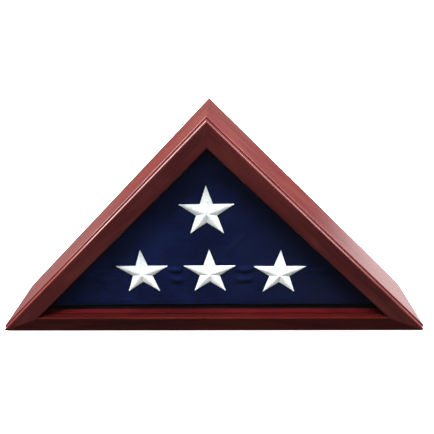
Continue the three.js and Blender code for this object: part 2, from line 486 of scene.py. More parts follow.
@dataclass(frozen=True)
class Metal:
    """Plated or tarnished metal."""

    name: str
    bright: Colour
    dull: Colour
    rough: float

    def make(self) -> bpy.types.Material:
        """Builds the material.

        Returns:
            The material.
        """
        s = Shader(self.name)
        patina = s.noise(s.place, 160.0, 5.0, 0.65, 0.4)
        scratches = s.noise(s.mapped(0.6, (900.0, 60.0, 60.0)), 2.0, 3.0)
        tarnish = s.ramp(patina, 0.42, 0.72)
        return s.principled(
            Base_Color=s.mix(tarnish * 0.6, self.bright, self.dull),
            Metallic=1.0 - 0.15 * tarnish,
            Roughness=self.rough + 0.18 * patina + 0.08 * scratches,
            Normal=s.bump(scratches * 0.5 + patina * 0.5, 0.03 * MM),
        )


@dataclass(frozen=True)
class ClearGlass:
    """Thin clear glass that mirrors a little and lets lamps through."""

    name: str = "clear_glass"
    straight: float = 0.02
    grazing: float = 0.6
    tint: Colour = (0.975, 0.985, 0.98)

    def make(self) -> bpy.types.Material:
        """Builds the material.

        Returns:
            The material.
        """
        s = Shader(self.name)
        clear = s.get("ShaderNodeBsdfTransparent", 0, None, {"Color": (*self.tint, 1.0)})
        smudge = s.noise(s.place, 14.0, 4.0, 0.6, 0.5)
        gloss = s.get("ShaderNodeBsdfGlossy", 0, None, {
            "Color": (1.0, 1.0, 1.0, 1.0), "Roughness": 0.02 + 0.03 * smudge})
        facing = s.get("ShaderNodeLayerWeight", "Facing", None, {"Blend": 0.5})
        mirror = self.straight + self.grazing * facing ** 5.0
        return s.finish(s.get("ShaderNodeMixShader", 0, None, {0: mirror, 1: clear, 2: gloss}))


@dataclass(frozen=True)
class StudioPaint:
    """White acrylic lit from below, for the table."""

    name: str = "light_table"
    colour: Colour = (0.30, 0.30, 0.30)
    glow: float = 1.05

    def make(self) -> bpy.types.Material:
        """Builds the material.

        Returns:
            The material.
        """
        s = Shader(self.name)
        grain = s.noise(s.place, 30.0, 3.0)
        pale = tuple(0.98 * c for c in self.colour)
        return s.principled(Base_Color=s.mix(grain, pale, self.colour), Roughness=0.9 + 0.05 * grain,
                            Specular_IOR_Level=0.0, Emission_Color=(1.0, 1.0, 1.0, 1.0),
                            Emission_Strength=self.glow)


# ---------------------------------------------------------------- meshes
def arc(middle: Point2, radius: float, start: float, end: float, steps: int) -> list[Point2]:
    """Points on an arc, both ends included. Angles are in degrees."""
    angles = (math.radians(start + (end - start) * i / steps) for i in range(steps + 1))
    return [(middle[0] + radius * math.cos(a), middle[1] + radius * math.sin(a)) for a in angles]


def new_object(name: str, mesh: bpy.types.Mesh) -> bpy.types.Object:
    """Links a new object at the origin.

    Args:
        name: the object's name.
        mesh: its mesh.

    Returns:
        The object.
    """
    thing = bpy.data.objects.new(name, mesh)
    bpy.context.scene.collection.objects.link(thing)
    return thing


def from_bmesh(name: str, bm: bmesh.types.BMesh, sharp: float = 40.0) -> bpy.types.Object:
    """Turns a bmesh into a smooth-shaded object, with its sharp edges kept.

    Args:
        name: the object's name.
        bm: the shape, which is used up.
        sharp: the angle in degrees from which an edge stays sharp.

    Returns:
        The object.
    """
    bmesh.ops.recalc_face_normals(bm, faces=bm.faces)
    mesh = bpy.data.meshes.new(name)
    bm.to_mesh(mesh)
    bm.free()
    mesh.shade_smooth()
    mesh.set_sharp_from_angle(angle=math.radians(sharp))
    return new_object(name, mesh)


def bake_modifiers(thing: bpy.types.Object) -> bpy.types.Object:
    """Turns an object with its modifiers into a plain mesh.

    Args:
        thing: the object.

    Returns:
        The same object, with no modifiers left.
    """
    depsgraph = bpy.context.evaluated_depsgraph_get()
    mesh = bpy.data.meshes.new_from_object(thing.evaluated_get(depsgraph))
    mesh.name = thing.name
    thing.modifiers.clear()
    thing.data = mesh
    return thing


def soften(thing: bpy.types.Object, width: float) -> bpy.types.Object:
    """Rounds the sharp edges of an object and evens out the shading of its flats.

    Args:
        thing: the object.
        width: how far each rounding reaches, in metres.

    Returns:
        The same object.
    """
    bevel = thing.modifiers.new("soften", "BEVEL")
    bevel.width = width
    bevel.segments = 2
    bevel.limit_method = "ANGLE"
    bevel.angle_limit = math.radians(30.0)
    bevel.use_clamp_overlap = True
    even = thing.modifiers.new("even", "WEIGHTED_NORMAL")
    even.mode = "FACE_AREA_WITH_ANGLE"
    even.keep_sharp = True
    return bake_modifiers(thing)


def dress(thing: bpy.types.Object, material: bpy.types.Material) -> None:
    """Gives a piece one material."""
    thing.data.materials.clear()
    thing.data.materials.append(material)


def hand_in(thing: bpy.types.Object, body: str, slot: str, *nodes: str) -> bpy.types.Object:
    """Puts a finished piece on its body, in place of its CAD nodes.

    Args:
        thing: the finished piece.
        body: the body it moves with.
        slot: the name of its material slot; not used.
        nodes: the CAD nodes it stands for.

    Returns:
        The same piece.
    """
    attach(thing, body)
    if nodes:
        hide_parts(*nodes)
    LOG.info("%s: %d faces on %s", thing.name, len(thing.data.polygons), body)
    return thing


# ---------------------------------------------------------------- the triangle
class Corner(Enum):
    """The corners, by half of their angle in degrees, which is also their mitre."""

    TOP = 45.0
    TOE = 22.5


@dataclass(frozen=True)
class Side:
    """One side of the triangle, with its own frame: along it, through the case, and inwards."""

    name: str
    length: float
    start: Corner
    end: Corner
    middle: Point2
    turn: float

    def place(self, along: float, depth: float, inset: float) -> Vector:
        """A point of the side's frame in the row frame.

        Args:
            along: the distance from the side's middle.
            depth: the place in Y.
            inset: the distance inwards from the outer face.

        Returns:
            The point.
        """
        c, s = math.cos(self.turn), math.sin(self.turn)
        x, z = self.middle
        return Vector((x + along * c + inset * s, depth, z - along * s + inset * c))

    def ends(self, inset: float, gap: float) -> tuple[float, float]:
        """Where the mitres cut a line at this inset, each moved in by a gap.

        Args:
            inset: the distance inwards from the outer face.
            gap: how far each end is held back.

        Returns:
            The start and the end along the side.
        """
        start = -self.length / 2 + inset / math.tan(math.radians(self.start.value)) + gap
        end = self.length / 2 - inset / math.tan(math.radians(self.end.value)) - gap
        return start, end


@dataclass(frozen=True)
class Triangle:
    """The case's outline: a square corner at the top and two 45 degree toes."""

    half: float

    def sides(self) -> tuple[Side, Side, Side]:
        """The three sides, each running on from the last.

        Returns:
            The bottom, right and left sides.
        """
        slope = self.half * math.sqrt(2)
        mid = self.half / 2
        eighth = math.radians(135)
        return (
            Side("bottom", 2 * self.half, Corner.TOE, Corner.TOE, (0.0, 0.0), 0.0),
            Side("right", slope, Corner.TOE, Corner.TOP, (mid, mid), -eighth),
            Side("left", slope, Corner.TOP, Corner.TOE, (-mid, mid), eighth),
        )

    def inset(self, by: float) -> list[Point2]:
        """The corners with every side moved in: left toe, right toe, top."""
        half = self.half - by / math.tan(math.radians(Corner.TOE.value))
        return [(-half, by), (half, by), (0.0, by + half)]

    def rounded(self, by: float, radius: float, steps: int = 8) -> list[Point2]:
        """The inset outline with its two toes and its top rounded.

        Args:
            by: how far every side is moved in.
            radius: the radius of the toes.
            steps: the number of steps in each arc.

        Returns:
            The outline, counter-clockwise from the left toe.
        """
        left, right, top = self.inset(by)
        reach = radius / math.sin(math.radians(Corner.TOE.value))
        lean = math.radians(Corner.TOE.value)
        toe = (reach * math.cos(lean), reach * math.sin(lean))
        points = arc((left[0] + toe[0], left[1] + toe[1]), radius, 135, 270, steps)
        points += arc((right[0] - toe[0], right[1] + toe[1]), radius, -90, 45, steps)
        small = radius * 0.4
        points += arc((0.0, top[1] - small * math.sqrt(2)), small, 45, 135, steps)
        return points


def prism(name: str, outline: Sequence[Point2], front: float, back: float) -> bpy.types.Object:
    """A closed plate from an outline in X and Z, between two depths.

    Args:
        name: the object's name.
        outline: its points in X and Z.
        front: the lower depth.
        back: the higher depth.

    Returns:
        The plate.
    """
    bm = bmesh.new()
    rings = [[bm.verts.new((x, y, z)) for x, z in outline] for y in (front, back)]
    bm.faces.new(rings[0])
    bm.faces.new(list(reversed(rings[1])))
    for i in range(len(outline)):
        j = (i + 1) % len(outline)
        bm.faces.new((rings[0][i], rings[1][i], rings[1][j], rings[0][j]))
    return from_bmesh(name, bm)


def keep_inside(thing: bpy.types.Object, tool: bpy.types.Object) -> None:
    """Cuts away what lies outside the tool, then removes the tool.

    Args:
        thing: the piece to trim.
        tool: the solid whose inside is kept.
    """
    cut = thing.modifiers.new("trim", "BOOLEAN")
    cut.operation = "INTERSECT"
    cut.solver = "EXACT"
    cut.object = tool
    bake_modifiers(thing)
    bpy.data.objects.remove(tool)


def moulding(name: str, side: Side, section: Sequence[Point2], gap: float) -> bpy.types.Object:
    """A mitred length of a section drawn as (depth, inset).

    Args:
        name: the object's name.
        side: the side it runs along.
        section: its points as depth and inset.
        gap: how far each mitre is held back.

    Returns:
        The moulding.
    """
    bm = bmesh.new()
    rings = []
    for end in range(2):
        ring = [bm.verts.new(side.place(side.ends(inset, gap)[end], depth, inset))
                for depth, inset in section]
        rings.append(ring)
    bm.faces.new(rings[0])
    bm.faces.new(list(reversed(rings[1])))
    for i in range(len(section)):
        j = (i + 1) % len(section)
        bm.faces.new((rings[0][i], rings[1][i], rings[1][j], rings[0][j]))
    return from_bmesh(name, bm)


@dataclass
class Woodwork:
    """The face frame, the box behind it and the glazing beads: nine mitred lengths."""

    triangle: Triangle
    woods: dict[tuple[str, str], bpy.types.Material]
    # near-black painted shade for the box rails' faces inside the case, which sit in shadow
    painted_shade_inside: bpy.types.Material
    lip: bpy.types.Material
    inner_round: float = 3.0 * MM
    outer_round: float = 2.5 * MM
    rail_round: float = 1.3 * MM
    back_round: float = 2.0 * MM
    bead_round: float = 1.3 * MM
    panel_play: float = 0.6 * MM
    mitre_gap: float = 0.08 * MM
    toe_round: float = 2.8 * MM
    arris: float = 0.35 * MM

    def face_section(self) -> list[Point2]:
        """Front moulding: set in a little from the box, and rounded at both front edges.

        Returns:
            The section as depth and inset.
        """
        low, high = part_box("face_frame_bottom")
        front, back, step, width = low.y, high.y, low.z, high.z
        outer = arc((front + self.outer_round, step + self.outer_round), self.outer_round, 180, 270, 14)
        inner_middle = (front + self.inner_round, width - self.inner_round)
        inner = arc(inner_middle, self.inner_round, 90, 180, 14)
        return [*outer, (back, step), (back, width), *inner]

    def rail_section(self) -> list[Point2]:
        """Box rail, with eased arrises and the rebate for the back panel.

        Returns:
            The section as depth and inset.
        """
        low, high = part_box("box_rail_bottom")
        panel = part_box("back_panel")
        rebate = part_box("felt_lining")[0].y - CLEARANCE
        land = panel[0].z - self.panel_play
        corner = arc((high.y - self.back_round, self.back_round), self.back_round, -90, 0, 8)
        front = arc((low.y + self.rail_round, self.rail_round), self.rail_round, 180, 270, 8)
        return [
            *front, *corner,
            (high.y, land), (rebate, land), (rebate, high.z), (low.y, high.z),
        ]

    def bead_section(self) -> list[Point2]:
        """Glazing bead with its free edge eased.

        Returns:
            The section as depth and inset.
        """
        low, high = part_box("glazing_bead_bottom")
        ease = self.bead_round
        return [
            (low.y, low.z), (high.y, low.z),
            *arc((high.y - ease, high.z - ease), ease, 0, 90, 8), (low.y, high.z),
        ]

    def refinish(self, piece: bpy.types.Object, side: Side, inset: float,
                 finish: bpy.types.Material) -> None:
        """Gives the faces that look into the case a material of their own: near-black painted shade on the
        box rails, the lip stain on the face frames.

        Args:
            piece: a finished length.
            side: the side it runs along.
            inset: the inset beyond which a face counts.
            finish: what those faces get.
        """
        piece.data.materials.append(finish)
        start = side.place(0.0, 0.0, 0.0)
        inwards = (side.place(0.0, 0.0, 1.0) - start).normalized()
        for face in piece.data.polygons:
            if (face.center - start).dot(inwards) > inset - 0.5 * MM and face.normal.dot(inwards) > 0.6:
                face.material_index = 1

    def build(self) -> None:
        """Makes and dresses all nine lengths."""
        sections = {"face_frame": self.face_section(), "box_rail": self.rail_section(),
                    "glazing_bead": self.bead_section()}
        for side in self.triangle.sides():
            for part, section in sections.items():
                piece = moulding(f"{part}_{side.name}_finished", side, section, self.mitre_gap)
                low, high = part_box(f"{part}_bottom")
                if part != "glazing_bead":
                    outline = self.triangle.rounded(low.z, self.toe_round)
                    keep_inside(piece, prism("trim", outline, low.y - MM, high.y + MM))
                soften(piece, self.arris)
                dress(piece, self.woods[part, side.name])
                # painted shade: the rails' faces inside the case go near-black, where they sit in shadow
                # behind the glass
                if part == "box_rail":
                    self.refinish(piece, side, high.z, self.painted_shade_inside)
                elif part == "face_frame":
                    self.refinish(piece, side, high.z - self.inner_round, self.lip)
                hand_in(piece, ROOT_BODY, "mahogany", f"{part}_{side.name}")


# ---------------------------------------------------------------- pieces grown by geometry nodes
class Grower(Tree):
    """A geometry tree with named inputs that repeats the mesh of the object it is put on."""

    def __init__(self, name: str, inputs: dict[str, float | int]) -> None:
        """Args:
            name: the name of the tree.
            inputs: the value of each input by its name.
        """
        group = bpy.data.node_groups.new(name, "GeometryNodeTree")
        super().__init__(group)
        self.values = inputs
        self.ids = {}
        face = group.interface
        face.new_socket("Geometry", in_out="INPUT", socket_type="NodeSocketGeometry")
        for key, value in inputs.items():
            kind = "NodeSocketInt" if isinstance(value, int) else "NodeSocketFloat"
            self.ids[key] = face.new_socket(key, in_out="INPUT", socket_type=kind).identifier
        self.ids["Material"] = face.new_socket(
            "Material", in_out="INPUT", socket_type="NodeSocketMaterial").identifier
        face.new_socket("Geometry", in_out="OUTPUT", socket_type="NodeSocketGeometry")
        self.source = self.add("NodeGroupInput")
        self.index = self.get("GeometryNodeInputIndex")

    def input(self, name: str) -> Value:
        """One of the tree's inputs."""
        return Value(self, self.source.outputs[name])

    def random(self, low: Number, high: Number, salt: int) -> Value:
        """A number per point, from the tree's Seed input.

        Args:
            low: the least value.
            high: the greatest value.
            salt: a number that sets this draw apart from the others.

        Returns:
            The number.
        """
        node = self.add("FunctionNodeRandomValue", {"data_type": "FLOAT"})
        for key, value in (("Min", low), ("Max", high), ("Seed", self.input("Seed") + salt)):
            socket = next(s for s in node.inputs if s.name == key and s.enabled)
            if isinstance(value, Value):
                self.tree.links.new(value.socket, socket)
            else:
                socket.default_value = value
        return Value(self, next(s for s in node.outputs if s.enabled))

    def points(self, count: Number, place: Value) -> Value:
        """A number of points, each put at its own place."""
        line = self.get("GeometryNodeMeshLine", 0, None, {"Count": count, "Offset": (0, 0, 0)})
        return self.get("GeometryNodeSetPosition", 0, None, {"Geometry": line, "Position": place})

    def instance(self, points: Value, shape: Value, turn: Value, scale: Value | None = None) -> Value:
        """The shape on every point, turned by Euler angles and scaled.

        Args:
            points: where the copies go.
            shape: what is copied.
            turn: the Euler angles of each copy.
            scale: the scale of each copy, or nothing.

        Returns:
            The instances.
        """
        rotation = self.get("FunctionNodeEulerToRotation", 0, None, {0: turn})
        inputs = {"Points": points, "Instance": shape, "Rotation": rotation}
        if scale is not None:
            inputs["Scale"] = scale
        return self.get("GeometryNodeInstanceOnPoints", 0, None, inputs)

    def realize(self, geometry: Value) -> Value:
        """Instances as mesh."""
        return self.get("GeometryNodeRealizeInstances", 0, None, {"Geometry": geometry})

    def join(self, *parts: Value) -> Value:
        """Several geometries as one.

        Args:
            parts: the geometries.

        Returns:
            All of them together.
        """
        node = self.add("GeometryNodeJoinGeometry")
        for part in parts:
            self.tree.links.new(part.socket, node.inputs[0])
        return Value(self, node.outputs[0])

    def grow(self, geometry: Value, thing: bpy.types.Object,
             material: bpy.types.Material) -> bpy.types.Object:
        """Closes the tree on this geometry and applies it to an object.

        Args:
            geometry: what the tree gives.
            thing: the object whose mesh it repeats.
            material: what the result is made of.

        Returns:
            The same object, now a plain mesh.
        """
        dressed = self.get("GeometryNodeSetMaterial", 0, None, {
            "Geometry": self.realize(geometry), "Material": self.input("Material")})
        self.add("NodeGroupOutput", None, {0: dressed})
        modifier = thing.modifiers.new(self.tree.name, "NODES")
        modifier.node_group = self.tree
        for key, value in self.values.items():
            modifier[self.ids[key]] = value
        modifier[self.ids["Material"]] = material
        bake_modifiers(thing)
        bpy.data.node_groups.remove(self.tree)
        return thing


def loft(name: str, rings: Sequence[Sequence[Sequence[float]]], closed: bool = False,
         sharp: float = 40.0) -> bpy.types.Object:
    """A skin over rings with the same number of points.

    Args:
        name: the object's name.
        rings: the rings, each a loop of points.
        closed: joins the last ring to the first. Otherwise both ends get a face.
        sharp: the angle from which an edge stays sharp.

    Returns:
        The object.
    """
    bm = bmesh.new()
    loops = [[bm.verts.new(p) for p in ring] for ring in rings]
    pairs = list(zip(loops, loops[1:]))
    if closed:
        pairs.append((loops[-1], loops[0]))
    else:
        bm.faces.new(loops[0])
        bm.faces.new(list(reversed(loops[-1])))
    for low, high in pairs:
        for i, corner in enumerate(low):
            j = (i + 1) % len(low)
            bm.faces.new((corner, high[i], high[j], low[j]))
    return from_bmesh(name, bm, sharp)


def merge(name: str, things: Iterable[bpy.types.Object]) -> bpy.types.Object:
    """Several objects as one mesh, without the first ones.

    Args:
        name: the name of the result.
        things: the objects, which are used up.

    Returns:
        One object.
    """
    bm = bmesh.new()
    for thing in things:
        bm.from_mesh(thing.data)
        bpy.data.objects.remove(thing)
    mesh = bpy.data.meshes.new(name)
    bm.to_mesh(mesh)
    bm.free()
    return new_object(name, mesh)


def centre(node: str) -> Vector:
    """The middle of a CAD node's box."""
    low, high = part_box(node)
    return (Vector(low) + Vector(high)) / 2


# ---------------------------------------------------------------- the flag
@dataclass(frozen=True)
class Wedge:
    """The flag's outline: a flat foot and two 45 degree slopes with rounded corners."""

    half: float
    middle: float
    foot: float
    toe_round: float = 9.0 * MM
    top_round: float = 9.0 * MM

    def loop(self, side: float, bottom: float, pitch: float) -> list[Point2]:
        """The outline moved in, by its own amount at the foot, with points about a pitch apart.

        Args:
            side: how far the slopes are moved in.
            bottom: how far the foot is moved in.
            pitch: the distance between points.

        Returns:
            The points, counter-clockwise from the left toe.
        """
        reach = self.half - side * math.sqrt(2)
        low = self.foot + bottom
        toe = reach - bottom
        shrink = max(0.05, 1 - max(side, bottom) / self.toe_round)
        lean = math.radians(Corner.TOE.value)
        r = self.toe_round * shrink
        away = (r / math.tan(lean), r)
        steps = 8
        left = arc((self.middle - toe + away[0], low + away[1]), r, 135, 270, steps)
        right = arc((self.middle + toe - away[0], low + away[1]), r, -90, 45, steps)
        rt = self.top_round * shrink
        top = arc((self.middle, self.foot + reach - rt * math.sqrt(2)), rt, 45, 135, steps)
        loop = []
        spans = ((left, right, 2 * self.half), (right, top, self.half * math.sqrt(2)),
                 (top, left, self.half * math.sqrt(2)))
        for bend, following, length in spans:
            loop += bend
            start, end = Vector(bend[-1]), Vector(following[0])
            count = round(length / pitch)
            loop += [tuple(start.lerp(end, i / count)) for i in range(1, count)]
        return loop

    def holds(self, x: float, z: float, margin: float) -> bool:
        """Whether a point lies inside by a margin."""
        slack = self.half - margin * math.sqrt(2) - abs(x - self.middle) - (z - self.foot)
        return z > self.foot + margin and slack > 0


@dataclass(frozen=True)
class Crease:
    """A line pressed into cloth."""

    start: Point2
    end: Point2
    depth: float
    width: float

    def push(self, x: float, z: float) -> float:
        """How far the cloth stands out here.

        Args:
            x: the place along the case.
            z: the height.

        Returns:
            The distance the cloth stands out.
        """
        ax, az = self.start
        dx, dz = self.end[0] - ax, self.end[1] - az
        length = math.hypot(dx, dz)
        along = ((x - ax) * dx + (z - az) * dz) / length
        across = ((z - az) * dx - (x - ax) * dz) / length
        reach = max(0.0, -along, along - length)
        fall = math.exp(-(reach / (3 * self.width)) ** 2) * math.exp(-(across / self.width) ** 2)
        return self.depth * fall


@dataclass
class ClothLayer:
    """One outer layer of the folded flag, rolled back round its edges."""

    name: str
    wedge: Wedge
    face: float
    towards: float
    height: Callable[[float, float], float]
    side_roll: float = 5.0 * MM
    foot_roll: float = 8.0 * MM
    skirt: float = 20.0 * MM
    pitch: float = 2.0 * MM
    thick: float = 0.6 * MM

    def out(self, by: float) -> float:
        """A depth that stands proud of the layer's face by this much."""
        return self.face + self.towards * by

    def build(self) -> bpy.types.Object:
        """Makes the layer as a thin closed sheet.

        Returns:
            The layer.
        """
        bm = bmesh.new()
        loops = []
        for back in (1.0, 0.66, 0.33):
            pinch = 1.5 * MM * back
            loops.append([(x, self.out(-self.side_roll - self.skirt * back), z)
                          for x, z in self.wedge.loop(pinch, pinch, self.pitch)])
        for step in range(9):
            turn = math.radians(step * 11.25)
            inset = 1 - math.cos(turn)
            flat = self.wedge.loop(self.side_roll * inset, self.foot_roll * inset, self.pitch)
            drop = self.side_roll * (1 - math.sin(turn))
            share = math.sin(turn)
            loops.append([(x, self.out(share * self.height(x, z) - drop), z) for x, z in flat])
        rings = [[bm.verts.new(p) for p in loop] for loop in loops]
        for low, high in zip(rings, rings[1:]):
            for i, corner in enumerate(low):
                j = (i + 1) % len(low)
                bm.faces.new((corner, high[i], high[j], low[j]))
        self.fill(bm, rings[-1])
        thing = from_bmesh(self.name, bm, 180.0)
        if thing.data.polygons[-1].normal.y * self.towards < 0:
            thing.data.flip_normals()
        solid = thing.modifiers.new("cloth", "SOLIDIFY")
        solid.thickness = self.thick
        solid.offset = -1.0
        return bake_modifiers(thing)

    def fill(self, bm: bmesh.types.BMesh, ring: list[bmesh.types.BMVert]) -> None:
        """Fills the face inside a ring with small even triangles.

        Args:
            bm: the shape to add to.
            ring: the vertices round the face.
        """
        rim = [Vector((v.co.x, v.co.z)) for v in ring]
        inside = []
        row_gap = self.pitch * math.sqrt(3) / 2
        span = self.wedge.half
        for row in range(int(span / row_gap) + 1):
            z = self.wedge.foot + row * row_gap
            for column in range(-int(span / self.pitch), int(span / self.pitch) + 1):
                x = self.wedge.middle + (column + row % 2 / 2) * self.pitch
                if self.wedge.holds(x, z, self.foot_roll + 0.3 * self.pitch):
                    inside.append(Vector((x, z)))
                elif z > self.wedge.foot + self.foot_roll + 0.6 * self.pitch and \
                        self.wedge.holds(x, z, self.side_roll + 0.6 * self.pitch):
                    inside.append(Vector((x, z)))
        points, _, faces, origins, _, _ = delaunay_2d_cdt(
            rim + inside, [], [list(range(len(rim)))], 1, 1e-7)
        verts = []
        for point, origin in zip(points, origins):
            known = [i for i in origin if i < len(ring)]
            if known:
                verts.append(ring[known[0]])
            else:
                x, z = point
                verts.append(bm.verts.new((x, self.out(self.height(x, z)), z)))
        for face in faces:
            bm.faces.new([verts[i] for i in face])


@dataclass
class EmbroideredStar:
    """A raised five-pointed star in satin stitch."""

    centre: Vector
    radius: float
    height: float
    waist: float = 0.382
    pitch: float = 0.46 * MM
    thread: float = 0.26 * MM
    name: str = "star"

    def rim(self, shrink: float) -> list[Point2]:
        """The ten corners of the outline, the first at the top.

        Args:
            shrink: how much every corner is drawn in.

        Returns:
            The corners.
        """
        points = []
        for i in range(10):
            reach = (self.radius if i % 2 == 0 else self.radius * self.waist) - shrink
            angle = math.radians(90 + 36 * i)
            points.append((reach * math.cos(angle), reach * math.sin(angle)))
        return points

    def padding(self) -> bpy.types.Object:
        """The felt-like padding that the stitches go over, sloping from the middle to the edges.

        Returns:
            The padding.
        """
        bm = bmesh.new()
        rim = self.rim(0.15 * MM)
        low = [bm.verts.new((x, 0.0, z)) for x, z in rim]
        edge = [bm.verts.new((x, -0.8 * MM, z)) for x, z in rim]
        peak = bm.verts.new((0.0, -self.height, 0.0))
        bm.faces.new(low)
        for i in range(10):
            j = (i + 1) % 10
            bm.faces.new((low[i], edge[i], edge[j], low[j]))
            bm.faces.new((edge[i], peak, edge[j]))
        return from_bmesh("padding", bm)

    def stitch(self) -> bpy.types.Object:
        """One thread, a metre long before it is scaled, crowned along its length.

        Returns:
            The thread.
        """
        rings = []
        for i in range(6):
            t = i / 5
            crown = 0.28 * MM * math.sin(math.pi * t) + 0.1 * MM
            thin = 1.0 if 0 < i < 5 else 0.75
            rings.append([(t, -crown - self.thread * 1.1 * thin * math.sin(math.radians(a)),
                           self.thread * thin * math.cos(math.radians(a))) for a in (-20, 50, 130, 200)])
        return loft("stitch", rings, sharp=120.0)

    def build(self, material: bpy.types.Material) -> bpy.types.Object:
        """Sews the star and puts it in place.

        Args:
            material: the thread's material.

        Returns:
            The star.
        """
        g = Grower("satin_stitch", {"Radius": self.radius, "Waist": self.waist, "Height": self.height,
                                    "Edge": 0.8 * MM, "Pitch": self.pitch, "Stray": 0.12 * MM, "Seed": 5})
        radius, edge, pitch = g.input("Radius"), g.input("Edge"), g.input("Pitch")
        lift = g.input("Height") - edge
        waist_u = radius * g.input("Waist") * math.cos(math.radians(36))
        waist_v = radius * g.input("Waist") * math.sin(math.radians(36))
        stray = g.random(-1.0, 1.0, 1) * g.input("Stray")
        u = (g.index + 0.5) * pitch + stray * 0.35
        inner = u * math.tan(math.radians(36))
        outer = waist_v * (radius - u) / (radius - waist_u)
        across = g.math("MAXIMUM", g.math("MINIMUM", inner, outer), 0.0003)
        ridge = edge + lift * (1.0 - u / radius)
        foot = edge + lift * g.math("MAXIMUM", 1.0 - u / waist_u, 0.0)
        drop = ridge - foot
        length = g.math("SQRT", across * across + drop * drop) + stray
        turn = g.math("ARCTAN2", drop, across)
        count = g.math("FLOOR", radius / pitch)
        points = g.points(count, g.combine(0.0, -1.0 * ridge, u))
        half = g.realize(g.instance(points, g.input("Geometry"), g.combine(0.0, 0.0, turn),
                                    g.combine(length, 1.0, 1.0)))
        mirror = g.get("GeometryNodeTransform", 0, None, {"Geometry": half, "Scale": (-1, 1, 1)})
        arm = g.join(half, g.get("GeometryNodeFlipFaces", 0, None, {"Mesh": mirror}))
        hub = g.points(5, g.combine())
        star = g.instance(hub, arm, g.combine(0.0, g.index * math.radians(72), 0.0))
        sewn = g.grow(star, self.stitch(), material)
        whole = merge(self.name, [sewn, self.padding()])
        whole.data.shade_smooth()
        whole.data.set_sharp_from_angle(angle=math.radians(50))
        whole.data.transform(Matrix.Translation(self.centre))
        dress(whole, material)
        return whole


